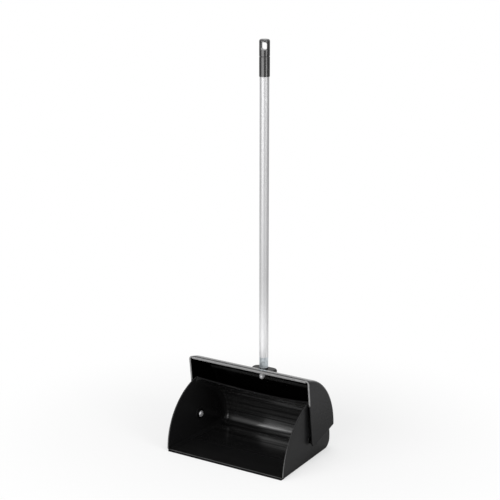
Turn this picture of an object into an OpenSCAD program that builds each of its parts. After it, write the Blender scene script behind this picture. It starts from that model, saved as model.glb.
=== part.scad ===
// Lobby dustpan on a long upright handle.
// A moulded scoop lies flat on the floor and hangs on two side pivots inside
// a wider drum-shaped hood. The handle is bolted to the hood, so tipping the
// handle forward brings the hood down over the mouth of the scoop.
// Units are millimetres, +Z is up and the mouth faces -Y.
// The origin is on the floor, under the middle of the bounding box.

/* [Scoop] */
// Front edge of the lip to the rear face of the scoop
pan_depth = 236; // [215:1:260]
// Outer width of the scoop on the floor at its front
pan_width = 326; // [280:1:380]
// Wall and floor thickness of the scoop
scoop_wall = 3; // [2.4:0.1:3.6]
// Angle by which each side wall draws in towards the back
wall_taper = 2.5; // [1.5:0.1:3.5]
// Angle by which each side wall leans outwards as it rises
wall_lean = 1.2; // [0:0.1:1.6]
// Radius of the curved front edge of the side walls
front_r = 157; // [145:1:165]
// Distance of that curved edge behind the lip, at the floor
front_set = 2; // [1:0.5:5]
// Highest point of the side walls, measured back from the lip
peak_y = 123; // [110:1:130]
// Rounding of that highest point
peak_r = 14; // [6:1:20]
// Radius of the rounded back of the scoop
back_r = 110; // [100:1:118]
// Angle up from level at which the rounded back ends in its top rim
back_rim_angle = 60; // [52:1:66]
// Radius of the rear lower corner of the scoop
rear_r = 25; // [12:1:32]
// Rounding of the outer edges between the side walls, the back and the floor
keel_r = 7; // [4:0.5:10]
// Rounding of the inner corners between the side walls, the back and the floor
corner_r = 15; // [6:0.5:18]
// That rounding where it runs out at the front of the floor
corner_front_r = 4; // [3:0.5:6]
// How far the middle of the back's top edge hangs below the peaks, along its slope
rim_sag = 65; // [45:1:66]
// Radius of the bead along the free edges of the scoop
edge_bead_r = 1.9; // [1.9:0.1:2.1]

/* [Front lip] */
// Depth of the soft strip from front to back
lip_depth = 14; // [11:0.5:20]
// Depth of the groove that grips the floor of the scoop
lip_grip = 9; // [6:0.5:10]
// Thickness of the jaw under the floor
lip_under = 1.2; // [0.8:0.1:1.4]
// Thickness of the jaw over the floor
lip_over = 0.6; // [0.4:0.1:1]
// Thickness of the tongue of floor that the strip grips
lip_tongue = 1.6; // [1:0.1:1.8]
// Height of the leading edge of the strip
lip_edge = 0.9; // [0.5:0.1:1.2]
// Gap between each end of the strip and the side wall
lip_end_gap = 0.4; // [0.2:0.1:2]

/* [Pivot] */
// Pivot axis behind the front of the lip
pivot_y = 129; // [124:0.5:132]
// Pivot axis above the floor
pivot_z = 55; // [50:0.5:60]
// Diameter of the smooth shoulder of the pivot pin
pin_d = 10; // [8:0.5:11]
// Diameter of the domed head of the pivot pin
pin_head_d = 16; // [14:0.5:19]
// Height of the domed head
pin_head_h = 4.5; // [3:0.5:6]
// Diameter of the end of the pin that is driven into the hood
pin_root_d = 6; // [5:0.5:7]
// Wall of the bush round the pin
bush_wall = 2; // [1.6:0.1:2.6]
// Flange diameter of the bush
bush_flange_d = 24; // [21:0.5:27]
// Flange thickness of the bush
bush_flange_t = 2; // [1.5:0.1:3]
// Diameter of the round pad that carries the bush inside the scoop
pivot_pad_d = 30; // [28:0.5:36]
// Height of that pad over each face of the side wall
pivot_pad_h = 1.4; // [1.2:0.1:2]
// Diameter of the boss on the hood that takes the pin
boss_d = 16; // [14.5:0.5:18]
// Play between pin and bush, on the radius
run_clear = 0.05; // [0.02:0.01:0.1]
// Play along the pivot axis at each face
end_play = 0.4; // [0.3:0.1:0.8]

/* [Hood] */
// Gap between the inside of the hood and the scoop at its front
side_gap = 2.2; // [2:0.1:8]
// Wall thickness of the hood
hood_wall = 2.8; // [2.2:0.1:3.2]
// Outer radius of the curved back of the hood
hood_r = 145; // [140:1:150]
// Distance of the back of the hood in front of the rear face of the scoop
hood_set = 5; // [3:0.5:8]
// Centre of the curved back above the floor
hood_cz = 66; // [62:0.5:70]
// Rounding of the long edges between the curved back and the side panels
hood_edge_r = 9; // [5:0.5:14]
// Lower front corner of the side panels behind the front of the lip
panel_y = 124.3; // [116:0.5:128]
// Lower front corner of the side panels above the floor
panel_z = 37; // [32:0.5:42]
// Rounding of that corner
panel_corner_r = 9; // [4:0.5:14]
// Lean of the front edge of the hood, rim forward
rim_lean = 7; // [4:0.5:10]
// Radius of the thick rolled rim along the top of the mouth
rim_r = 3.6; // [2.6:0.1:4.2]
// Radius of the bead down the front edges of the side panels
rim_side_r = 2; // [1.8:0.1:2.2]
// Gap at the rear edge of the hood where it comes to rest on the scoop
stop_gap = 0.3; // [0.2:0.1:1]

/* [Handle] */
// Distance of the handle axis in front of the back of the hood
handle_set = 54; // [48:0.5:62]
// Top of the handle above the floor
handle_top = 978; // [800:1:1200]
// Outer diameter of the steel tube
tube_d = 21.3; // [19:0.1:25]
// Wall of the steel tube
tube_wall = 0.9; // [0.7:0.1:1.5]
// Thickness of the silver sheath over the tube
sheath_t = 0.35; // [0.2:0.05:0.8]
// Length of bare tube below the sheath
bare_len = 26.5; // [15:0.5:40]
// Top face of the socket base above the hood, at the handle axis
socket_rise = 9.5; // [8:0.5:14]
// Length of the socket base across the hood
socket_len = 66; // [54:1:80]
// Depth of the socket base from front to back
socket_deep = 30; // [28:1:36]
// Rounding of the upper edge of the socket base
socket_edge_r = 4; // [2:0.5:6]
// Height of the black neck between base and tube
neck_h = 3; // [2:0.5:8]
// Length of the spigot inside the tube
spigot_len = 45; // [30:1:70]
// Diameter of the stud that holds the socket to the hood
stud_d = 8; // [6:0.5:9]
// Depth of the stud inside the socket
stud_set = 7; // [5:0.5:8]
// Diameter of the flat pad for the washer inside the hood
seat_d = 26; // [24:0.5:32]
// Height of that pad
seat_h = 1.2; // [0.8:0.1:2]
// Washer diameter
washer_d = 21; // [18:0.5:23]
// Washer thickness
washer_t = 1.6; // [1.2:0.1:2.5]
// Width of the dome nut across its flats
nut_flats = 13; // [11:0.5:15]
// Height of the hexagon of the dome nut
nut_hex_h = 6.5; // [5:0.5:8]
// Diameter of the dome of the nut
dome_d = 12.2; // [10:0.1:12.8]

/* [Grip cap] */
// Length of the cap
cap_len = 85; // [70:1:110]
// Wall of the cap round the sheath
cap_wall = 1.3; // [1:0.1:2.5]
// Solid length of the cap above the tube
cap_solid = 29; // [27:0.5:40]
// Rounding of the top of the cap
cap_top_r = 4; // [2:0.5:6]
// Width of the hang hole
hang_w = 14; // [10:0.5:15]
// Height of the hang hole
hang_h = 18; // [14:0.5:20]
// Thickness of the bar over the hang hole
hang_bar = 6; // [4:0.5:8]
// Corner rounding of the hang hole
hang_r = 4.5; // [2:0.5:5]
// Turn of the hang hole about the handle
hang_turn = 22; // [0:1:25]
// Distance of the ring groove below the top
groove_at = 40; // [34:1:60]
// Width of the ring groove
groove_w = 2; // [1:0.5:3]
// Depth of the ring groove
groove_d = 0.7; // [0.4:0.1:0.9]

/* [Hidden] */
$fn = 96;

// Steps in each small drawn arc
arc_steps = 8;
// Reach of the tools that cut right through
reach = 2 * (pan_depth + pan_width);
// Overlap that joins a boss or a pad to the wall behind it
bite = 1;

// Scoop
scoop_half = pan_width / 2;
front_cy = front_set + front_r;
peak_z = sqrt(pow(front_r, 2) - pow(front_cy - peak_y, 2));
back_cy = pan_depth - back_r;
back_rim = [back_cy + back_r * cos(back_rim_angle), rear_r + back_r * sin(back_rim_angle)];
// Line of the bead: front curve, round of the peak, and straight slope to the top rim
bead_front_r = front_r - edge_bead_r;
bead_peak_r = peak_r - edge_bead_r;
rim_mid = [back_cy, rear_r] + (back_r - scoop_wall / 2) * [cos(back_rim_angle), sin(back_rim_angle)];
slope_way = unit([peak_y, peak_z] - back_rim);
slope_out = [slope_way.y, -slope_way.x];
slope_low = rim_mid - slope_out * bead_peak_r - [front_cy, 0];
slope_len = sqrt(pow(slope_low * slope_way, 2) - slope_low * slope_low + pow(bead_front_r - bead_peak_r, 2))
    - slope_low * slope_way;
bead_centre = slope_low + [front_cy, 0] + slope_way * slope_len;
front_out = unit(bead_centre - [front_cy, 0]);
// Turn of the bead from upright where the round of the peak starts and ends
bead_from = atan2(front_out.x, front_out.y);
bead_to = atan2(slope_out.x, slope_out.y);
slope_top = bead_centre + bead_peak_r * slope_out;
// Inner end of the curved back, where its straight slope starts
rim_in = [back_cy, rear_r] + (back_r - scoop_wall) * [cos(back_rim_angle), sin(back_rim_angle)];
// Hanging curve of the top edge, from peak to peak
peak_side = scoop_half - scoop_wall - peak_y * tan(wall_taper) + peak_z * tan(wall_lean);
sag_r = (pow(peak_side, 2) + pow(rim_sag, 2)) / (2 * rim_sag);
sag_up = norm([peak_y, peak_z] - back_rim) - rim_sag + sag_r;
sag_turn = asin(peak_side / sag_r);
// Inner corners, kept inside the rear lower corner of the scoop
corner_in = min(corner_r, rear_r - scoop_wall - bite);
// Overlap that lets a rounding run out across the face it meets
run_out = 0.15;
// Angle by which the roundings of the back and of the rear corner lap
ring_lap = 4;

// Side wall of the scoop at the pivot, on its outer face
pivot_wall = scoop_half - pivot_y * tan(wall_taper) + pivot_z * tan(wall_lean);
pad_out = pivot_wall + pivot_pad_h;
pad_in = pivot_wall - scoop_wall - pivot_pad_h;
bush_bore = pin_d + 2 * run_clear;
bush_od = bush_bore + 2 * bush_wall;
bush_face = pad_in - bush_flange_t;
head_face = bush_face - end_play;
boss_face = pad_out + end_play;

// Front lip
lip_slot_y = lip_depth - lip_grip;
lip_slot_z = lip_under + lip_tongue;
lip_half = scoop_half - scoop_wall - lip_depth * tan(wall_taper) - lip_end_gap;

// Hood
hood_in = scoop_half + side_gap;
hood_half = hood_in + hood_wall;
hood_cy = pan_depth - hood_set - hood_r;
// Inner lower edge of the back of the hood, which lands on the back of the scoop
stop_y = hood_cy + hood_r - hood_wall;
stop_z = rear_r + sqrt(pow(back_r + stop_gap, 2) - pow(stop_y - back_cy, 2));
boss_hole_end = hood_half - hood_wall / 2;

// Front edge of the hood: its direction, and its length up to a distance from the middle of the drum
rim_way = [-sin(rim_lean), cos(rim_lean)];
rim_back = [cos(rim_lean), sin(rim_lean)];
rim_low = [panel_y, panel_z];
function rim_len(from, r) =
    let (p = from - [hood_cy, hood_cz])
    sqrt(pow(p * rim_way, 2) - p * p + pow(r, 2)) - p * rim_way;
rim_side = hood_half - hood_wall / 2;
rim_turn_r = hood_edge_r - hood_wall / 2;
rim_turn_x = hood_half - hood_edge_r;
rim_turn_z = rim_len(rim_low + rim_back * rim_side_r, hood_r) - hood_edge_r;
rim_top_z = rim_len(rim_low + rim_back * rim_r, hood_r - hood_wall / 2 + rim_side_r - rim_r);
// Height up the edge where the bead of the side panels starts
rim_foot = 1.25 * panel_corner_r;

// Mount of the handle
handle_y = hood_cy + hood_r - handle_set;
mount_angle = acos((handle_y - hood_cy) / hood_r);
socket_top = hood_cz + hood_r * sin(mount_angle) + socket_rise;
socket_ear = socket_len / 2 - socket_deep / 2;
socket_mid = handle_y + socket_edge_r / 2 + 1;
seat_r = hood_r - hood_wall - seat_h;
nut_hex_r = nut_flats / 2 / cos(30);
tube_end = socket_top + neck_h;
tube_top = handle_top - cap_solid;
tube_in = tube_d - 2 * tube_wall;
sheath_d = tube_d + 2 * sheath_t;
cap_d = sheath_d + 2 * cap_wall;
cap_bottom = handle_top - cap_len;
hang_z = handle_top - hang_bar - hang_h / 2;

function unit(v) = v / norm(v);

// Points of a rounding at corner b of the path a, b, c
function corner(a, b, c, r) =
    let (u = unit(a - b), w = unit(c - b), half = acos(u * w) / 2)
    let (m = b + unit(u + w) * r / sin(half), s = b + u * r / tan(half), e = b + w * r / tan(half))
    let (from = atan2(s.y - m.y, s.x - m.x), to = atan2(e.y - m.y, e.x - m.x))
    let (turn = to - from > 180 ? to - from - 360 : to - from < -180 ? to - from + 360 : to - from)
    [for (i = [0 : arc_steps]) m + r * [cos(from + turn * i / arc_steps), sin(from + turn * i / arc_steps)]];

// Places what is drawn from the front of the lip about the middle of the part
module placed()
    translate([0, -pan_depth / 2, 0])
        children();

// Draws a side outline (depth, height) out to a width
module across(width)
    rotate([90, 0, 90])
        linear_extrude(height = width, center = true)
            children();

// Turns a form made about Z so that it lies along X, on the pivot line
module on_pivot(side)
    translate([0, pivot_y, pivot_z])
        rotate([0, side * 90, 0])
            children();

// Everything inside the pair of tapered, leaning side planes
module between_sides(half)
    intersection() {
        children();
        for_sides_inside(half);
    }

module for_sides_inside(half)
    intersection() {
        side_space(1, half);
        side_space(-1, half);
    }

module side_space(side, half)
    translate([side * half, 0, 0])
        rotate([0, side * wall_lean, side * wall_taper])
            translate([-side * reach / 2, 0, 0])
                cube(reach, center = true);

// Rounded back of the scoop and its rear lower corner
module scoop_back(wall) {
    translate([back_cy, wall])
        square([back_r - rear_r, rear_r]);
    translate([pan_depth - rear_r, rear_r])
        circle(rear_r - wall);
    intersection() {
        translate([back_cy, rear_r])
            circle(back_r - wall, $fn = 180);
        translate([back_cy, rear_r])
            square(back_r);
    }
}

// Side outline of the scoop, up to the line of the bead
module scoop_outline()
    intersection() {
        translate([front_cy, 0])
            circle(bead_front_r, $fn = 180);
        polygon(concat(
            [[0, 0], [pan_depth, 0], [pan_depth, back_rim.y], back_rim],
            [slope_top + slope_out * scoop_wall / 2],
            [for (i = [0 : arc_steps])
                let (turn = bead_to + (bead_from - bead_to) * i / arc_steps)
                bead_centre + bead_peak_r * [sin(turn), cos(turn)]],
            [bead_centre + bead_peak_r * front_out + front_r * [-front_out.y, front_out.x]]
        ));
        union() {
            square([back_cy, front_r]);
            polygon([[back_cy, rear_r], back_rim, [back_cy, front_r]]);
            scoop_back(0);
        }
    }

// Side outline of the space inside the scoop, open to the front and under the slope of the back
module scoop_space() {
    top = rim_in + 2 * front_r * slope_way;
    polygon([
        [-pan_depth, scoop_wall],
        [back_cy, scoop_wall],
        [back_cy, rear_r],
        rim_in,
        top,
        [-pan_depth, top.y]
    ]);
    scoop_back(scoop_wall);
}

// Middle of the sloping back: X across, Y down the slope, Z out of the back
module on_slope()
    translate([0, rim_mid.x, rim_mid.y])
        rotate([-bead_to, 0, 0])
            children();

// Cuts the top edge of the back to its hanging curve, between the side walls
module sag_cut()
    between_sides(scoop_half - scoop_wall)
        on_slope()
            translate([0, -sag_up, -2 * corner_r])
                cylinder(r = sag_r, h = 3 * corner_r, $fn = 180);

// Bead along that hanging edge
module sag_bead()
    on_slope()
        translate([0, -sag_up, 0])
            rotate([0, 0, 90 - sag_turn])
                rotate_extrude(angle = 2 * sag_turn, $fn = 180)
                    translate([sag_r, 0])
                        circle(edge_bead_r);

// Cuts the long lower edge of the scoop to a round
module keel_cut(side)
    translate([side * scoop_half, 0, 0])
        rotate([0, 0, side * wall_taper])
            rotate([90, 0, 0])
                linear_extrude(height = reach, center = true)
                    difference() {
                        translate([-side * keel_r / 2, keel_r / 2])
                            square([keel_r + bite, keel_r], center = true);
                        translate([-side * keel_r, keel_r])
                            circle(keel_r);
                    }

// Both sides, from a form made for the right one
module both_sides() {
    children();
    mirror([1, 0, 0])
        children();
}

// Inner face of the right side wall: X is out through the wall, Y back, Z up
module on_wall()
    translate([scoop_half - scoop_wall, 0, 0])
        rotate([0, wall_lean, wall_taper])
            children();

// Place on that face of a line across the scoop, at a depth inside the wall
function wall_point(p, depth) =
    [(p.x + depth * sin(wall_taper)) / cos(wall_taper), (p.y - depth * sin(wall_lean)) / cos(wall_lean)];

// Revolves (radius, depth) about a line out of the wall, from up over the back to down
module wall_ring(p, from, to)
    translate([0, p.x, p.y])
        rotate([0, -90, 0])
            rotate([0, 0, from])
                rotate_extrude(angle = to - from, $fn = 180)
                    children();

// Section of an inner corner: fills between wall and floor outside a round
module fill_section(major)
    difference() {
        translate([major, -bite])
            square(corner_in + bite);
        translate([major + run_out, corner_in - run_out])
            circle(corner_in);
    }

// Section of an outer edge: what a round takes off
module edge_section(major)
    difference() {
        translate([major, -scoop_wall - bite])
            square(keel_r + bite);
        translate([major + run_out, keel_r - scoop_wall - run_out])
            circle(keel_r);
    }

// Inner corner of the right side: along the back, round the rear, and along the floor
module corner_fill() {
    back = wall_point([back_cy, rear_r], corner_in);
    rear = back + [back_r - rear_r, 0];
    floor_z = rear.y - rear_r + scoop_wall;
    front_at = (corner_in + (sqrt(2) - 1) * corner_front_r) / sqrt(2);
    from = [-front_at, lip_depth + bite, floor_z + front_at];
    to = [-corner_in, rear.x, floor_z + corner_in];
    way = unit(to - from);
    on_wall() {
        translate([0, back.x, back.y])
            rotate([0, -90, 0])
                rotate([90, 0, bead_to])
                    linear_extrude(height = front_r)
                        fill_section(back_r - scoop_wall - corner_in);
        wall_ring(back, bead_to, 90 - ring_lap / 4)
            fill_section(back_r - scoop_wall - corner_in);
        wall_ring(rear, 90 - 2 * ring_lap, 180)
            fill_section(rear_r - scoop_wall - corner_in);
        difference() {
            intersection() {
                translate([0, 0, floor_z - bite])
                    linear_extrude(height = corner_in + bite)
                        polygon([[bite, from.y], [bite, to.y], [to.x, to.y], [from.x, from.y]]);
                across(reach)
                    polygon([
                        [from.y, floor_z - bite],
                        [to.y, floor_z - bite],
                        [to.y, to.z],
                        [from.y, from.z]
                    ]);
            }
            translate(from - way * 2 * bite + [run_out, 0, -run_out] / 3)
                rotate([0, acos(way.z), atan2(way.y, way.x)])
                    cylinder(r = corner_in, h = norm(to - from) + 4 * bite);
        }
    }
}

// Outer edge of the right side along the back and round the rear
module edge_cut() {
    back = wall_point([back_cy, rear_r], keel_r - scoop_wall);
    rear = back + [back_r - rear_r, 0];
    on_wall() {
        wall_ring(back, 90 - 0.96 * back_rim_angle, 90 - ring_lap / 4)
            edge_section(back_r - keel_r);
        wall_ring(rear, 90 - 2 * ring_lap, 180)
            edge_section(rear_r - keel_r);
    }
}

// Bead along the curved front edge and over the peak
module edge_bead() {
    mid = scoop_wall / 2;
    front = wall_point([front_cy, 0], -mid);
    peak = front + bead_centre - [front_cy, 0];
    foot = asin(3 * edge_bead_r / front_r);
    on_wall() {
        wall_ring(front, foot - 90, bead_from)
            translate([bead_front_r, -mid])
                circle(edge_bead_r);
        wall_ring(peak, bead_from - bite, bead_to + bite)
            translate([bead_peak_r, -mid])
                circle(edge_bead_r - run_out / 2);
    }
}

// Room for the front lip round the tongue of the floor
module lip_room() {
    translate([-lip_half, -bite, -bite])
        cube([2 * lip_half, lip_slot_y + bite, scoop_wall + 2 * bite]);
    translate([-lip_half, -bite, -bite])
        cube([2 * lip_half, lip_depth + bite, lip_under + bite]);
    translate([-lip_half, -bite, lip_slot_z])
        cube([2 * lip_half, lip_depth + bite, scoop_wall]);
}

module scoop()
    color([0.10, 0.10, 0.11])
        placed()
            difference() {
                union() {
                    difference() {
                        between_sides(scoop_half)
                            across(reach)
                                scoop_outline();
                        difference() {
                            between_sides(scoop_half - scoop_wall)
                                across(reach)
                                    scoop_space();
                            both_sides()
                                corner_fill();
                        }
                        sag_cut();
                        for (side = [-1, 1])
                            keel_cut(side);
                        both_sides()
                            edge_cut();
                    }
                    both_sides()
                        edge_bead();
                    sag_bead();
                    for (side = [-1, 1])
                        on_pivot(side) {
                            translate([0, 0, pad_in])
                                cylinder(d = pivot_pad_d, h = scoop_wall);
                            translate([0, 0, pad_in])
                                cylinder(d = bush_od + 2 * bush_wall, h = pad_out - pad_in);
                        }
                }
                for (side = [-1, 1])
                    on_pivot(side)
                        translate([0, 0, pad_in - bite])
                            cylinder(d = bush_od, h = pad_out - pad_in + 2 * bite);
                lip_room();
            }

module front_lip()
    color([0.05, 0.05, 0.05])
        placed()
            across(2 * lip_half)
                polygon([
                    [0, 0],
                    [lip_depth, 0],
                    [lip_depth, lip_under],
                    [lip_slot_y, lip_under],
                    [lip_slot_y, lip_slot_z],
                    [lip_depth, lip_slot_z],
                    [lip_depth, lip_slot_z + lip_over],
                    [lip_slot_y, lip_slot_z + lip_over],
                    [0, lip_edge]
                ]);

// Flanged bush, pressed into the side wall of the scoop from the inside
module pivot_bush(side)
    color([0.08, 0.08, 0.08])
        placed()
            on_pivot(side)
                difference() {
                    union() {
                        translate([0, 0, bush_face])
                            cylinder(d = bush_flange_d, h = bush_flange_t);
                        translate([0, 0, pad_in])
                            cylinder(d = bush_od, h = pad_out - pad_in);
                    }
                    translate([0, 0, bush_face - bite])
                        cylinder(d = bush_bore, h = pad_out - bush_face + 2 * bite);
                }

module pivot_bush_left() pivot_bush(-1);

module pivot_bush_right() pivot_bush(1);

// Shoulder pin with a domed head inside the scoop, driven into the hood
module pivot_pin(side)
    color([0.78, 0.79, 0.80])
        placed()
            on_pivot(side) {
                translate([0, 0, head_face - pin_head_h])
                    pin_head();
                translate([0, 0, head_face])
                    cylinder(d = pin_d, h = boss_face - head_face);
                translate([0, 0, boss_face])
                    cylinder(d = pin_root_d, h = boss_hole_end - boss_face);
            }

// Low dome on a straight rim
module pin_head() {
    rim = pin_head_h / 3;
    rise = pin_head_h - rim;
    ball = (pow(pin_head_d / 2, 2) + pow(rise, 2)) / (2 * rise);
    translate([0, 0, rise])
        cylinder(d = pin_head_d, h = rim);
    intersection() {
        translate([0, 0, ball])
            sphere(ball);
        cylinder(d = pin_head_d, h = rise);
    }
}

module pivot_pin_left() pivot_pin(-1);

module pivot_pin_right() pivot_pin(1);

// Drum with rounded edges about the axis of the hood
module hood_drum(r, half, edge)
    translate([0, hood_cy, hood_cz])
        rotate([0, 90, 0])
            rotate_extrude($fn = 180) {
                translate([0, -half])
                    square([r - edge, 2 * half]);
                translate([0, edge - half])
                    square([r, 2 * (half - edge)]);
                for (side = [-1, 1])
                    translate([r - edge, side * (half - edge)])
                        circle(edge);
            }

// Side outline that trims the drum: front edge, rounded corner, lower edge, rear edge
module hood_outline() {
    low = rim_low + [rim_side_r / cos(rim_lean), 0];
    stop = [stop_y, stop_z];
    polygon(concat(
        corner(low + rim_way * hood_r, low, stop, panel_corner_r),
        [stop, stop + [hood_r, hood_r], low + rim_way * 2 * hood_r + [2 * hood_r, 0]],
        [low + rim_way * 2 * hood_r]
    ));
}

// Plane of the front edge of the hood: X across, Y up the edge, Z to the front
module on_rim()
    translate([0, rim_low.x, rim_low.y])
        rotate([90 + rim_lean, 0, 0])
            children();

// Thick rolled rim across the top, with a bead round each corner and down each side
module hood_rim()
    on_rim() {
        translate([0, rim_top_z, -rim_r])
            rotate([0, 90, 0])
                cylinder(r = rim_r, h = 2 * rim_turn_x + bite, center = true);
        both_sides() {
            translate([rim_turn_x, rim_turn_z, -rim_side_r])
                rotate_extrude(angle = 100)
                    translate([rim_turn_r, 0])
                        circle(rim_side_r);
            translate([rim_side, rim_foot, -rim_side_r]) {
                rotate([-90, 0, 0])
                    cylinder(r = rim_side_r, h = rim_turn_z - rim_foot);
                sphere(rim_side_r - run_out / 2);
            }
        }
    }

// Radial line through the mount of the handle, with zero at the axis of the hood
module on_mount()
    translate([0, hood_cy, hood_cz])
        rotate([mount_angle - 90, 0, 0])
            children();

module hood()
    color([0.11, 0.11, 0.12])
        placed()
            difference() {
                union() {
                    intersection() {
                        difference() {
                            hood_drum(hood_r, hood_half, hood_edge_r);
                            hood_drum(hood_r - hood_wall, hood_in, hood_edge_r - hood_wall);
                        }
                        across(reach)
                            hood_outline();
                    }
                    hood_rim();
                    for (side = [-1, 1])
                        on_pivot(side)
                            translate([0, 0, boss_face])
                                cylinder(d = boss_d, h = hood_in - boss_face + bite);
                    on_mount()
                        translate([0, 0, seat_r])
                            cylinder(d = seat_d, h = seat_h + bite);
                }
                for (side = [-1, 1])
                    on_pivot(side)
                        translate([0, 0, boss_face - bite])
                            cylinder(d = pin_root_d, h = boss_hole_end - boss_face + bite);
                on_mount()
                    translate([0, 0, seat_r - bite])
                        cylinder(d = stud_d, h = hood_wall + seat_h + 2 * bite);
            }

// Round end of the socket base with a rounded upper edge
module socket_end()
    rotate_extrude() {
        square([socket_deep / 2 - socket_edge_r, socket_top]);
        square([socket_deep / 2, socket_top - socket_edge_r]);
        translate([socket_deep / 2 - socket_edge_r, socket_top - socket_edge_r])
            intersection() {
                circle(socket_edge_r);
                square(socket_edge_r);
            }
    }

// Straight middle of the socket base with the same rounded upper edges
module socket_bar()
    across(2 * socket_ear) {
        translate([-socket_deep / 2, 0])
            square([socket_deep, socket_top - socket_edge_r]);
        translate([socket_edge_r - socket_deep / 2, 0])
            square([socket_deep - 2 * socket_edge_r, socket_top]);
        for (end = [-1, 1])
            translate([end * (socket_deep / 2 - socket_edge_r), socket_top - socket_edge_r])
                circle(socket_edge_r);
    }

module handle_socket()
    color([0.09, 0.09, 0.10])
        placed()
            difference() {
                union() {
                    difference() {
                        translate([0, socket_mid, 0]) {
                            socket_bar();
                            for (side = [-1, 1])
                                translate([side * socket_ear, 0, 0])
                                    socket_end();
                        }
                        translate([0, hood_cy, hood_cz])
                            rotate([0, 90, 0])
                                cylinder(r = hood_r, h = reach, center = true, $fn = 180);
                        translate([-reach / 2, -reach, 0])
                            cube([reach, reach + hood_cy, reach]);
                    }
                    translate([0, handle_y, socket_top - bite])
                        cylinder(d = tube_in + tube_wall, h = neck_h + bite);
                    translate([0, handle_y, tube_end])
                        cylinder(d = tube_in, h = spigot_len);
                }
                on_mount()
                    translate([0, 0, hood_r - bite])
                        cylinder(d = stud_d, h = stud_set + bite);
            }

module handle_stud()
    color([0.74, 0.75, 0.77])
        placed()
            on_mount()
                translate([0, 0, seat_r - washer_t - nut_hex_h])
                    cylinder(d = stud_d, h = hood_r + stud_set - seat_r + washer_t + nut_hex_h);

module stud_washer()
    color([0.74, 0.75, 0.77])
        placed()
            on_mount()
                translate([0, 0, seat_r - washer_t])
                    difference() {
                        cylinder(d = washer_d, h = washer_t);
                        translate([0, 0, -bite])
                            cylinder(d = stud_d, h = washer_t + 2 * bite);
                    }

module dome_nut()
    color([0.82, 0.83, 0.84])
        placed()
            on_mount()
                translate([0, 0, seat_r - washer_t - nut_hex_h])
                    difference() {
                        union() {
                            cylinder(r = nut_hex_r, h = nut_hex_h, $fn = 6);
                            sphere(d = dome_d);
                        }
                        cylinder(d = stud_d, h = nut_hex_h + bite);
                    }

module handle_tube()
    color([0.62, 0.65, 0.69])
        placed()
            translate([0, handle_y, tube_end])
                difference() {
                    cylinder(d = tube_d, h = tube_top - tube_end);
                    translate([0, 0, -bite])
                        cylinder(d = tube_in, h = tube_top - tube_end + 2 * bite);
                }

module tube_sheath()
    color([0.80, 0.81, 0.82])
        placed()
            translate([0, handle_y, tube_end + bare_len])
                difference() {
                    cylinder(d = sheath_d, h = tube_top - tube_end - bare_len);
                    translate([0, 0, -bite])
                        cylinder(d = tube_d, h = tube_top - tube_end - bare_len + 2 * bite);
                }

module grip_cap()
    color([0.16, 0.16, 0.17])
        placed()
            translate([0, handle_y, 0])
                difference() {
                    rotate_extrude() {
                        translate([0, cap_bottom])
                            square([cap_d / 2, cap_len - cap_top_r]);
                        translate([0, cap_bottom])
                            square([cap_d / 2 - cap_top_r, cap_len]);
                        translate([cap_d / 2 - cap_top_r, handle_top - cap_top_r])
                            intersection() {
                                circle(cap_top_r);
                                square(cap_top_r);
                            }
                    }
                    translate([0, 0, cap_bottom - bite])
                        cylinder(d = sheath_d, h = tube_top - cap_bottom + bite);
                    translate([0, 0, handle_top - groove_at])
                        difference() {
                            cylinder(d = cap_d + bite, h = groove_w);
                            translate([0, 0, -bite])
                                cylinder(d = cap_d - 2 * groove_d, h = groove_w + 2 * bite);
                        }
                    translate([0, 0, hang_z])
                        rotate([90, 0, hang_turn])
                            linear_extrude(height = 2 * cap_d, center = true) {
                                square([hang_w, hang_h - 2 * hang_r], center = true);
                                square([hang_w - 2 * hang_r, hang_h], center = true);
                                for (sx = [-1, 1])
                                    for (sz = [-1, 1])
                                        translate([sx * (hang_w / 2 - hang_r), sz * (hang_h / 2 - hang_r)])
                                            circle(hang_r);
                            }
                }

scoop();
front_lip();
pivot_bush_left();
pivot_bush_right();
hood();
handle_socket();
handle_stud();
stud_washer();
dome_nut();
handle_tube();
tube_sheath();
grip_cap();
pivot_pin_left();
pivot_pin_right();
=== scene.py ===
import math

import bpy
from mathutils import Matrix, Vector


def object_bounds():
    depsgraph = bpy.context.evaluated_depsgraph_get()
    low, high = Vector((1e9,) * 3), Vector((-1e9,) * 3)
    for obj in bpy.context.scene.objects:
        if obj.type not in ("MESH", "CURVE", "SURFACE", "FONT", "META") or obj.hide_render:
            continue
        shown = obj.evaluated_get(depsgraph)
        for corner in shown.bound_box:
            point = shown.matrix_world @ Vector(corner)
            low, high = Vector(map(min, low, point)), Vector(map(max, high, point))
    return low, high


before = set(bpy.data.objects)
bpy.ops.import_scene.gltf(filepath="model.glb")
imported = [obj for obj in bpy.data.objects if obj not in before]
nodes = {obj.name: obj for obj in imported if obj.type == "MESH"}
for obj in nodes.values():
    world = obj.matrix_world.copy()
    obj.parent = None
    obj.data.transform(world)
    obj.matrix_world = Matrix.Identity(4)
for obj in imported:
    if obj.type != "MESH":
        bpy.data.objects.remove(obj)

cad_low, cad_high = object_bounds()
scene = bpy.context.scene

# Camera, fitted to the outline in the photograph
PHOTO_PX = 500
FOCAL_PX = 1475
SENSOR_MM = 36
AZIMUTH = math.radians(32.71)
PITCH = math.radians(15.15)
DISTANCE = 3.442
AIM = Vector((0, 0.012, 0.45))
AIM_RIGHT = -0.0077
AIM_UP = 0.0419
FAR_CLIP = 100

# Sizes of the solids that the materials follow, in metres
FRONT = cad_low[1]
BACK = cad_high[1]
FRONT_EDGE_R = 0.157
FRONT_EDGE_SET = 0.002
LIP_SLOPE = 0.005
LIP_TOP = 0.0034
HOOD_R = 0.145
HOOD_SET = 0.005
HOOD_AXIS_Z = 0.066
HANDLE_SET = 0.054
PANEL_SET = 0.1243
PANEL_Z = 0.037
RIM_LEAN = math.radians(7)
BEND_SET = 0.0054
BEND_Z = 0.0155

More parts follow.
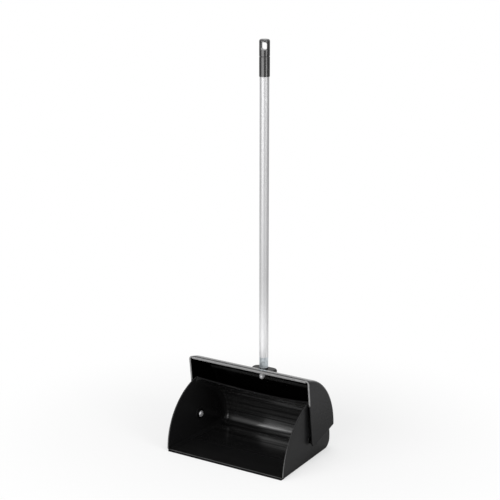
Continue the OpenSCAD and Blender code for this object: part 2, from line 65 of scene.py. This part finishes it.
# Places on the solids
HOOD_AXIS = (0, BACK - HOOD_SET - HOOD_R, HOOD_AXIS_Z)
HANDLE_FOOT = (0, BACK - HOOD_SET - HANDLE_SET, 0)
RIM_FOOT = (0, FRONT + PANEL_SET, PANEL_Z)
RIM_BACK = (0, math.cos(RIM_LEAN), math.sin(RIM_LEAN))
FRONT_AXIS = (0, FRONT + FRONT_EDGE_SET + FRONT_EDGE_R, 0)
LIP_CREASE = (0, FRONT + LIP_SLOPE, LIP_TOP)
BEND = (0, BACK - BEND_SET, BEND_Z)
SCOOP_MIDDLE = (0, -0.01, 0.06)

# Circle along the hanging top edge of the scoop's back
SAG_CENTRE = (0, -0.1345, 0.2294)
SAG_NORMAL = (0, 0.4895, 0.8720)
SAG_R = 0.2241

# Planes onto which a distance is flattened
SIDE_ON = (0, 1, 1)
FROM_ABOVE = (1, 1, 0)

# Greys, as shares of white
BLACK_TINT = 0.04
HOOD_DARK = 0.003
HOOD_LIGHT = 0.005
# painted shade: the hood's inside is painted nearly black
HOOD_INSIDE_SHADE_GREY = 0.00045
# painted sheen: the hood's outside is painted paler towards the top
TOP_SHEEN_GREY = 0.021
# painted reflection: a pale band across the inside of the hood's drum
REFLECTION_BAND_GREY = 0.02
# painted highlight: pale grey on the front face of the hood's rim
RIM_HIGHLIGHT_GREY = 0.22
SCOOP_DARK = 0.006
SCOOP_LIGHT = 0.010
# painted light: the scoop's shaded inside is painted paler than its outside
SCOOP_INSIDE_PAINTED_LIGHT_GREY = 0.013
DULL_GREY = 0.003
SCUFF_GREY = 0.012
# pale scoop edges: edge wear and a painted highlight
SCOOP_EDGE_GREY = 0.02
# front edges of the side walls: edge wear and a painted highlight
FRONT_EDGE_GREY = 0.12
# flow lines on the back, partly painted reflection streaks
FLOW_LINE_AND_SHEEN_DARK = 0.006
FLOW_LINE_AND_SHEEN_LIGHT = 0.018
# painted highlight along the bend between the scoop's floor and back
BEND_HIGHLIGHT_GREY = 0.09
RUBBER_DARK = 0.003
RUBBER_LIGHT = 0.005
# painted highlight along the lip's crease
CREASE_HIGHLIGHT_GREY = 0.10
SHEATH_DARK = 0.41
SHEATH_LIGHT = 0.45
# painted light: the sheath's foot is painted paler against the shade of the pan
SHEATH_FOOT_PAINTED_LIGHT_GREY = 0.82
ZINC_DARK = (0.52, 0.57, 0.60, 1)
ZINC_LIGHT = (0.66, 0.71, 0.74, 1)
ZINC_CLOUD = (0.74, 0.79, 0.82, 1)

# Heights, and places along the part, between which a tone fades in
TOP_SHEEN = (0.04, 0.19)
RIM_HIGHLIGHT_HEIGHTS = (0.143, 0.151)
REFLECTION_BAND_FROM = (0.150, 0.157)
REFLECTION_BAND_TO = (0.166, 0.160)
SHEATH_FOOT_PAINTED_LIGHT = (0.42, 0.20)
FLOOR_LEVEL = (0.012, 0.003)
FRONT_EDGE_HEIGHT = (0.09, 0.01)
LIP_REACH = (0.02, -0.07)
BACK_REACH = (0.0, 0.07)
WALL_REACH = (0.150, 0.125)
BEND_RIGHT = (0.07, 0.0)
BEND_LEFT = (-0.142, -0.120)

# Distances between which a tone fades in
RIM_FACE = (0.0026, 0.0012)
POLISH_FROM_RIM = (0.008, 0.014)
POLISH_FROM_HANDLE = (0.026, 0.042)
BEAD_NEAR = (0.0028, 0.0020)
BEAD_LEVEL = (0.0045, 0.0030)
FRONT_EDGE_WEAR_AND_HIGHLIGHT = (FRONT_EDGE_R - 0.0016, FRONT_EDGE_R - 0.0004)
BEND_HIGHLIGHT_WIDTH = (0.0085, 0.001)
CREASE_HIGHLIGHT_WIDTH = (0.0013, 0.0006)
INSIDE_OUT = (-0.004, 0.004)

# Slopes of a face, and turns at an edge, between which a tone fades in
HOOD_DRUM = (0.8, 0.4)
NOT_WALL = (0.7, 0.3)
REAR_FACE = (0.4, 0.8)
EDGE_TURN = (0.995, 0.86)

# Noise values between which a tone fades in
WIDE = (0.3, 0.7)
CLOUDY = (0.35, 0.7)
GLOSSY = (0.3, 0.75)
MARKED = (0.60, 0.74)
PATCHY = (0.25, 0.6)
DRAGGED = (0.5, 0.7)
FLOW_TONE = (0.40, 0.58)
FLOW_GLOSS = (0.38, 0.56)
CREASE_PATCHY = (0.3, 0.6)
MOTTLED = (0.45, 0.75)
FULL = (0.0, 1.0)

# Stage
WHITE = (1, 1, 1, 1)
SKY_AS_LIGHT = 0.35
SKY_AS_SEEN = 1.0
FLOOR_HALF = 30
FLOOR_GREY = 0.93
GLOW_REACH = (0.25, 0.8)
GLOW_SHARE = (0.6, 1.0)
# Name, place, aim, width, height and power in watts
LAMPS = (
    ("front_softbox", (-0.50, -2.6, 1.05), (-0.23, 0, 0.5), 3.0, 1.9, 68),
    ("right_softbox", (2.6, -0.7, 1.05), (0, 0, 0.5), 1.1, 1.9, 27),
    ("top_softbox", (0.2, 0.2, 2.9), (0, 0, 0.2), 1.6, 1.2, 24),
)


class Nodes:
    """Short calls for building one material's node tree."""

    def __init__(self, name):
        self.material = bpy.data.materials.new(name)
        self.material.use_nodes = True
        self.tree = self.material.node_tree
        self.tree.nodes.clear()
        self.out = self.add("ShaderNodeOutputMaterial")
        place = self.add("ShaderNodeTexCoord")
        self.coords = place.outputs["Object"]
        self.facing = place.outputs["Normal"]

    def add(self, kind, **settings):
        node = self.tree.nodes.new(kind)
        for key, value in settings.items():
            setattr(node, key, value)
        return node

    def link(self, source, target):
        self.tree.links.new(source, target)

    def put(self, socket, value):
        if isinstance(value, bpy.types.NodeSocket):
            self.link(value, socket)
        else:
            socket.default_value = value

    def noise(self, scale, detail, rough=0.55, stretch=None):
        place = self.coords
        if stretch:
            mapping = self.add("ShaderNodeMapping")
            self.link(place, mapping.inputs["Vector"])
            mapping.inputs["Scale"].default_value = stretch
            place = mapping.outputs["Vector"]
        node = self.add("ShaderNodeTexNoise")
        self.link(place, node.inputs["Vector"])
        node.inputs["Scale"].default_value = scale
        node.inputs["Detail"].default_value = detail
        node.inputs["Roughness"].default_value = rough
        return node.outputs["Fac"]

    def cells(self, scale):
        """One random value for each cell."""
        node = self.add("ShaderNodeTexVoronoi")
        self.link(self.coords, node.inputs["Vector"])
        node.inputs["Scale"].default_value = scale
        parts = self.add("ShaderNodeSeparateColor")
        self.link(node.outputs["Color"], parts.inputs["Color"])
        return parts.outputs["Red"]

    def ramp(self, value, low, high, to_low=0.0, to_high=1.0):
        node = self.add("ShaderNodeMapRange", interpolation_type="SMOOTHSTEP")
        self.put(node.inputs["Value"], value)
        node.inputs["From Min"].default_value = low
        node.inputs["From Max"].default_value = high
        node.inputs["To Min"].default_value = to_low
        node.inputs["To Max"].default_value = to_high
        return node.outputs["Result"]

    def math(self, operation, a, b=0.0):
        node = self.add("ShaderNodeMath", operation=operation)
        self.put(node.inputs[0], a)
        self.put(node.inputs[1], b)
        return node.outputs[0]

    def times(self, first, *others):
        for other in others:
            first = self.math("MULTIPLY", first, other)
        return first

    def plus(self, a, b):
        return self.math("ADD", a, b)

    def size(self, value):
        return self.math("ABSOLUTE", value)

    def vector(self, operation, a, b):
        node = self.add("ShaderNodeVectorMath", operation=operation)
        self.link(a, node.inputs[0])
        self.put(node.inputs[1], b)
        return node.outputs["Vector"]

    def offset(self, place):
        """Vector from a fixed point to the surface."""
        return self.vector("SUBTRACT", self.coords, place)

    def along(self, vector, way):
        """How far a vector goes in a direction."""
        node = self.add("ShaderNodeVectorMath", operation="DOT_PRODUCT")
        self.link(vector, node.inputs[0])
        self.put(node.inputs[1], way)
        return node.outputs["Value"]

    def length(self, vector):
        node = self.add("ShaderNodeVectorMath", operation="LENGTH")
        self.link(vector, node.inputs[0])
        return node.outputs["Value"]

    def distance(self, place, plane):
        """Distance from a fixed point, seen flat on a plane."""
        return self.length(self.vector("MULTIPLY", self.offset(place), plane))

    def split(self, vector):
        node = self.add("ShaderNodeSeparateXYZ")
        self.link(vector, node.inputs["Vector"])
        return node.outputs

    def mix(self, factor, a, b):
        node = self.add("ShaderNodeMix", data_type="RGBA")
        self.put(node.inputs["Factor"], factor)
        self.put(node.inputs[6], a)
        self.put(node.inputs[7], b)
        return node.outputs[2]

    def bump(self, height, distance, strength, under=None):
        node = self.add("ShaderNodeBump")
        node.inputs["Strength"].default_value = strength
        node.inputs["Distance"].default_value = distance
        self.put(node.inputs["Height"], height)
        if under is not None:
            self.link(under, node.inputs["Normal"])
        return node.outputs["Normal"]

    def edges(self, radius):
        """A mask that is 1 along sharp edges and 0 on open faces, and the rounded normal."""
        bevel = self.add("ShaderNodeBevel", samples=4)
        bevel.inputs["Radius"].default_value = radius
        rounded = bevel.outputs["Normal"]
        plain = self.add("ShaderNodeNewGeometry").outputs["Normal"]
        return self.ramp(self.along(rounded, plain), *EDGE_TURN), rounded

    def outward(self, middle):
        """1 on faces that look away from a point inside, 0 on faces that look towards it."""
        return self.ramp(self.along(self.offset(middle), self.facing), *INSIDE_OUT)

    def shader(self, color, roughness, normal, coat=None, **constants):
        node = self.add("ShaderNodeBsdfPrincipled")
        self.put(node.inputs["Base Color"], color)
        self.put(node.inputs["Roughness"], roughness)
        self.link(normal, node.inputs["Normal"])
        if coat is not None:
            self.link(coat, node.inputs["Coat Weight"])
            self.link(normal, node.inputs["Coat Normal"])
        for key, value in constants.items():
            node.inputs[key].default_value = value
        self.link(node.outputs["BSDF"], self.out.inputs["Surface"])
        return self.material


def grey(value, tint=0.0):
    return (value, value, value * (1 + tint), 1)


def black(value):
    """Grey with the faint blue of black plastic."""
    return grey(value, BLACK_TINT)


def moulded(n, dark, light, rough, grain):
    """Colour, roughness and normal of black plastic: fine grain, cloudy gloss, pale edges that
    are edge wear and a painted highlight.
    """
    edge, rounded = n.edges(radius=0.0012)
    cloud = n.noise(scale=9.0, detail=4.0)
    fine = n.noise(scale=900.0, detail=2.0)
    smear = n.noise(scale=60.0, detail=5.0, rough=0.7, stretch=(1, 1, 0.25))
    color = n.mix(n.ramp(cloud, *CLOUDY), black(dark), black(light))
    # pale edges: edge wear and a painted highlight along sharp edges
    color = n.mix(n.times(edge, 0.5), color, black(light * 3))
    roughness = n.ramp(cloud, *GLOSSY, to_low=rough - 0.04, to_high=rough + 0.05)
    roughness = n.plus(roughness, n.ramp(smear, *MARKED, to_high=0.06))
    return color, roughness, n.bump(fine, distance=grain, strength=0.6, under=rounded)


def plastic(name, level, **mould):
    n = Nodes(name)
    color, roughness, normal = moulded(n, **mould)
    return n.shader(color, roughness, normal, **{"Specular IOR Level": level})


def hood_plastic():
    """Painted sheen paler towards the top, painted shade nearly black inside with a painted
    reflection band, polished outside, and a painted highlight on the rim's front face.
    """
    n = Nodes("hood_plastic")
    color, roughness, normal = moulded(n, HOOD_DARK, HOOD_LIGHT, rough=0.30, grain=0.00004)
    up = n.split(n.coords)["Z"]
    outside = n.outward(HOOD_AXIS)
    drum = n.ramp(n.size(n.split(n.facing)["X"]), *HOOD_DRUM)
    # painted sheen: paler towards the top, as the light falls on the side panels
    color = n.mix(n.ramp(up, *TOP_SHEEN), color, black(TOP_SHEEN_GREY))
    # painted reflection: a pale band along the drum's inside, just below the rim
    reflection_band = n.times(n.ramp(up, *REFLECTION_BAND_FROM), n.ramp(up, *REFLECTION_BAND_TO), drum)
    # painted shade inside the hood, nearly black, carrying the painted reflection band
    color = n.mix(outside, n.mix(reflection_band, grey(HOOD_INSIDE_SHADE_GREY), grey(REFLECTION_BAND_GREY)), color)

    behind_rim = n.along(n.offset(RIM_FOOT), RIM_BACK)
    from_handle = n.distance(HANDLE_FOOT, FROM_ABOVE)
    polish = n.times(
        outside,
        drum,
        n.ramp(behind_rim, *POLISH_FROM_RIM),
        n.ramp(from_handle, *POLISH_FROM_HANDLE),
    )
    patches = n.noise(scale=120.0, detail=4.0, rough=0.6)
    # painted highlight on the rim's front face, above the scoop's walls, in patches
    painted_highlight = n.times(
        n.ramp(behind_rim, *RIM_FACE),
        n.ramp(up, *RIM_HIGHLIGHT_HEIGHTS),
        n.ramp(patches, *PATCHY, to_low=0.75),
    )
    color = n.mix(painted_highlight, color, grey(RIM_HIGHLIGHT_GREY))
    roughness = n.plus(roughness, n.times(painted_highlight, 0.1))
    return n.shader(color, roughness, normal, polish,
                    **{"Specular IOR Level": 0.07, "Coat Roughness": 0.18})


def hanging_edge(n):
    """1 on the bead along the top of the scoop's back."""
    reach = n.offset(SAG_CENTRE)
    near = n.size(n.math("SUBTRACT", n.length(reach), SAG_R))
    level = n.size(n.along(reach, SAG_NORMAL))
    return n.times(n.ramp(near, *BEAD_NEAR), n.ramp(level, *BEAD_LEVEL))


def front_edge_wear_and_highlight(n, up):
    """Pale edge wear and a painted highlight on the curved front edges of the side walls, most of
    it near the floor.
    """
    from_axis = n.distance(FRONT_AXIS, SIDE_ON)
    by_height = n.ramp(up, *FRONT_EDGE_HEIGHT, to_low=0.15, to_high=0.8)
    return n.times(n.ramp(from_axis, *FRONT_EDGE_WEAR_AND_HIGHLIGHT), by_height)


def painted_highlight_bend(n, across):
    """Painted highlight along the bend between floor and back, from the left corner to the
    middle.
    """
    strip = n.ramp(n.distance(BEND, SIDE_ON), *BEND_HIGHLIGHT_WIDTH)
    fade_right = n.ramp(across, *BEND_RIGHT, to_low=0.15, to_high=0.8)
    return n.times(strip, fade_right, n.ramp(across, *BEND_LEFT))


def scoop_plastic():
    """Polished inside with long flow lines and painted reflection streaks, painted paler inside,
    painted highlights on edges and bend, plain outside, dull at the front.
    """
    n = Nodes("scoop_plastic")
    place = n.split(n.coords)
    facing = n.split(n.facing)
    edge, rounded = n.edges(radius=0.0012)
    cloud = n.noise(scale=7.0, detail=4.0)
    drag = n.noise(scale=260.0, detail=3.0, rough=0.65, stretch=(1, 0.02, 1))
    not_wall = n.ramp(n.size(facing["X"]), *NOT_WALL)
    flow = n.times(n.noise(scale=150.0, detail=3.0, stretch=(0.025, 1, 1)), not_wall)

    outside = n.outward(SCOOP_MIDDLE)
    inside = n.math("SUBTRACT", 1.0, outside)
    back = n.ramp(place["Y"], *BACK_REACH, to_low=0.1)
    dull = n.times(n.ramp(place["Z"], *FLOOR_LEVEL), n.ramp(place["Y"], *LIP_REACH))
    scuff = n.times(dull, n.ramp(drag, *DRAGGED))
    matt = n.math("MAXIMUM", n.times(dull, 0.6), hanging_edge(n))

    color = n.mix(n.ramp(cloud, *CLOUDY), black(SCOOP_DARK), black(SCOOP_LIGHT))
    lines = n.mix(n.ramp(flow, *FLOW_TONE), grey(FLOW_LINE_AND_SHEEN_DARK), grey(FLOW_LINE_AND_SHEEN_LIGHT))
    layers = (
        # painted light: the shaded inside painted paler
        (n.times(inside, 0.25), grey(SCOOP_INSIDE_PAINTED_LIGHT_GREY)),
        (n.times(dull, 0.7), grey(DULL_GREY)),
        # pale edges: edge wear and a painted highlight along sharp edges
        (n.times(edge, 0.4), grey(SCOOP_EDGE_GREY)),
        (n.times(scuff, 0.2), grey(SCUFF_GREY)),
        # edge wear and a painted highlight on the front edges, strongest near the floor
        (front_edge_wear_and_highlight(n, place["Z"]), grey(FRONT_EDGE_GREY)),
        # flow lines on the back, with light and dark painted reflection streaks
        (n.times(back, inside, 0.8), lines),
        # painted highlight along the bend between floor and back
        (n.times(painted_highlight_bend(n, place["X"]), inside), grey(BEND_HIGHLIGHT_GREY)),
    )
    for mask, tone in layers:
        color = n.mix(mask, color, tone)

    roughness = n.ramp(outside, *FULL, to_low=0.18, to_high=0.30)
    roughness = n.plus(roughness, n.times(matt, 0.35))
    roughness = n.plus(roughness, n.times(scuff, 0.04))

    inner_polish = n.times(
        n.math("SUBTRACT", inside, matt),
        back,
        n.ramp(n.size(place["X"]), *WALL_REACH, to_low=0.25),
        n.ramp(flow, *FLOW_GLOSS, to_low=0.2),
    )
    outer_polish = n.times(outside, n.ramp(facing["Y"], *REAR_FACE))
    polish = n.math("MAXIMUM", inner_polish, outer_polish)
    normal = n.bump(flow, distance=0.0003, strength=0.5, under=rounded)
    return n.shader(color, roughness, normal, polish,
                    **{"Specular IOR Level": 0.06, "Coat Roughness": 0.12})


def rubber():
    """Black rubber, with a painted highlight along the crease above its front slope."""
    n = Nodes("lip_rubber")
    rounded = n.edges(radius=0.0006)[1]
    cloud = n.noise(scale=40.0, detail=4.0)
    pores = n.noise(scale=1400.0, detail=2.0)
    # painted highlight: a thin pale line along the crease, in patches
    crease = n.ramp(n.distance(LIP_CREASE, SIDE_ON), *CREASE_HIGHLIGHT_WIDTH)
    painted_highlight = n.times(crease, n.ramp(cloud, *CREASE_PATCHY, to_low=0.7))
    color = n.mix(n.ramp(cloud, *WIDE), grey(RUBBER_DARK), grey(RUBBER_LIGHT))
    color = n.mix(painted_highlight, color, grey(CREASE_HIGHLIGHT_GREY))
    roughness = n.ramp(cloud, *WIDE, to_low=0.5, to_high=0.66)
    normal = n.bump(pores, distance=0.00008, strength=0.6, under=rounded)
    return n.shader(color, roughness, normal, **{"Specular IOR Level": 0.05})


def silver_sheath():
    """Satin silver coat with faint long draw lines, painted lighter towards its foot against the
    shade of the pan.
    """
    n = Nodes("sheath_silver")
    tint = 0.01
    lines = n.noise(scale=700.0, detail=3.0, rough=0.6, stretch=(1, 1, 0.004))
    cloud = n.noise(scale=14.0, detail=4.0, rough=0.6, stretch=(1, 1, 0.3))
    # painted light: paler towards the foot, offsetting the shade from the dark pan
    foot = n.ramp(n.split(n.coords)["Z"], *SHEATH_FOOT_PAINTED_LIGHT, to_high=0.9)
    color = n.mix(n.ramp(lines, *WIDE), grey(SHEATH_DARK, tint), grey(SHEATH_LIGHT, tint))
    color = n.mix(foot, color, grey(SHEATH_FOOT_PAINTED_LIGHT_GREY, tint))
    roughness = n.ramp(cloud, *WIDE, to_low=0.34, to_high=0.40)
    normal = n.bump(lines, distance=0.00003, strength=0.35)
    return n.shader(color, roughness, normal, Metallic=0.45)


def galvanised():
    """Bare zinc spangle, blue-grey and mottled."""
    n = Nodes("galvanised")
    spangle = n.cells(scale=180.0)
    cloud = n.noise(scale=60.0, detail=5.0, rough=0.65)
    color = n.mix(spangle, ZINC_DARK, ZINC_LIGHT)
    color = n.mix(n.ramp(cloud, *MOTTLED), color, ZINC_CLOUD)
    roughness = n.ramp(spangle, *FULL, to_low=0.34, to_high=0.52)
    normal = n.bump(cloud, distance=0.00006, strength=0.4)
    return n.shader(color, roughness, normal, Metallic=0.6)


def plated(name, base, rough, metallic):
    """Bright plating with fine scratches and paler edges, which are edge wear and a painted
    highlight.
    """
    n = Nodes(name)
    tint = 0.02
    edge, rounded = n.edges(radius=0.0005)
    cloud = n.noise(scale=160.0, detail=4.0, rough=0.6)
    scratch = n.noise(scale=900.0, detail=3.0, rough=0.7, stretch=(1, 0.08, 1))
    color = n.mix(n.ramp(cloud, *GLOSSY), grey(base * 0.86, tint), grey(base, tint))
    # paler edges: edge wear and a painted highlight along sharp edges
    color = n.mix(n.times(edge, 0.4), color, grey(base * 1.2))
    roughness = n.ramp(scratch, *CLOUDY, to_low=rough, to_high=rough + 0.12)
    return n.shader(color, roughness, rounded, Metallic=metallic)


def dress():
    """Gives each solid its material."""
    bush = plastic("bush_plastic", level=0.05, dark=0.001, light=0.002, rough=0.45, grain=0.00005)
    pin = plated("pin_plating", base=0.66, rough=0.42, metallic=0.7)
    zinc = plated("zinc", base=0.60, rough=0.36, metallic=1.0)
    looks = {
        "scoop": scoop_plastic(),
        "front_lip": rubber(),
        "pivot_bush_left": bush,
        "pivot_bush_right": bush,
        "hood": hood_plastic(),
        "handle_socket": plastic("socket_plastic", level=0.12, dark=HOOD_DARK, light=HOOD_LIGHT,
                                 rough=0.32, grain=0.00005),
        "handle_stud": zinc,
        "stud_washer": zinc,
        "dome_nut": plated("nut_plating", base=0.50, rough=0.50, metallic=0.5),
        "handle_tube": galvanised(),
        "tube_sheath": silver_sheath(),
        "grip_cap": plastic("cap_plastic", level=0.8, dark=0.006, light=0.009,
                            rough=0.20, grain=0.00002),
        "pivot_pin_left": pin,
        "pivot_pin_right": pin,
    }
    for name, material in looks.items():
        mesh = nodes[name].data
        mesh.materials.clear()
        mesh.materials.append(material)


def add_camera():
    forward = Vector((
        -math.sin(AZIMUTH) * math.cos(PITCH),
        math.cos(AZIMUTH) * math.cos(PITCH),
        -math.sin(PITCH),
    ))
    right = Vector((math.cos(AZIMUTH), math.sin(AZIMUTH), 0))
    up = right.cross(forward)
    data = bpy.data.cameras.new("camera")
    data.sensor_fit = "HORIZONTAL"
    data.sensor_width = SENSOR_MM
    data.lens = SENSOR_MM * FOCAL_PX / PHOTO_PX
    data.clip_end = FAR_CLIP
    camera = bpy.data.objects.new("camera", data)
    scene.collection.objects.link(camera)
    target = AIM + right * AIM_RIGHT + up * AIM_UP
    camera.location = target - forward * DISTANCE
    camera.rotation_euler = forward.to_track_quat("-Z", "Y").to_euler()
    scene.camera = camera


def white_world():
    """White where it is seen, straight or in a mirror, and softer as a light."""
    world = bpy.data.worlds.new("studio")
    world.use_nodes = True
    scene.world = world
    tree = world.node_tree
    tree.nodes.clear()
    path = tree.nodes.new("ShaderNodeLightPath")
    seen = path.outputs["Is Camera Ray"]
    for ray in ("Is Glossy Ray", "Is Transmission Ray"):
        either = tree.nodes.new("ShaderNodeMath")
        either.operation = "MAXIMUM"
        tree.links.new(seen, either.inputs[0])
        tree.links.new(path.outputs[ray], either.inputs[1])
        seen = either.outputs[0]
    mix = tree.nodes.new("ShaderNodeMixShader")
    tree.links.new(seen, mix.inputs[0])
    for slot, strength in ((1, SKY_AS_LIGHT), (2, SKY_AS_SEEN)):
        sky = tree.nodes.new("ShaderNodeBackground")
        sky.inputs["Color"].default_value = WHITE
        sky.inputs["Strength"].default_value = strength
        tree.links.new(sky.outputs[0], mix.inputs[slot])
    out = tree.nodes.new("ShaderNodeOutputWorld")
    tree.links.new(mix.outputs[0], out.inputs["Surface"])


def floor_material():
    """Pale floor that keeps the shadow near the part and turns white further out."""
    n = Nodes("floor")
    far = n.ramp(n.length(n.coords), *GLOW_REACH, *GLOW_SHARE)
    seen = n.add("ShaderNodeLightPath").outputs["Is Camera Ray"]
    pale = n.add("ShaderNodeBsdfDiffuse")
    pale.inputs["Color"].default_value = grey(FLOOR_GREY)
    glow = n.add("ShaderNodeEmission")
    mix = n.add("ShaderNodeMixShader")
    n.link(n.times(far, seen), mix.inputs[0])
    n.link(pale.outputs[0], mix.inputs[1])
    n.link(glow.outputs[0], mix.inputs[2])
    n.link(mix.outputs[0], n.out.inputs["Surface"])
    return n.material


def add_floor():
    corners = [
        (-FLOOR_HALF, -FLOOR_HALF, 0),
        (FLOOR_HALF, -FLOOR_HALF, 0),
        (FLOOR_HALF, FLOOR_HALF, 0),
        (-FLOOR_HALF, FLOOR_HALF, 0),
    ]
    mesh = bpy.data.meshes.new("floor")
    mesh.from_pydata(corners, [], [(0, 1, 2, 3)])
    mesh.materials.append(floor_material())
    floor = bpy.data.objects.new("floor", mesh)
    scene.collection.objects.link(floor)


def add_lamp(name, place, aim, width, height, power):
    data = bpy.data.lights.new(name, "AREA")
    data.shape = "RECTANGLE"
    data.size = width
    data.size_y = height
    data.energy = power
    lamp = bpy.data.objects.new(name, data)
    scene.collection.objects.link(lamp)
    lamp.location = place
    lamp.rotation_euler = (Vector(aim) - Vector(place)).to_track_quat("-Z", "Y").to_euler()


add_camera()
dress()
white_world()
add_floor()
for lamp in LAMPS:
    add_lamp(*lamp)

scene.view_settings.view_transform = "Standard"
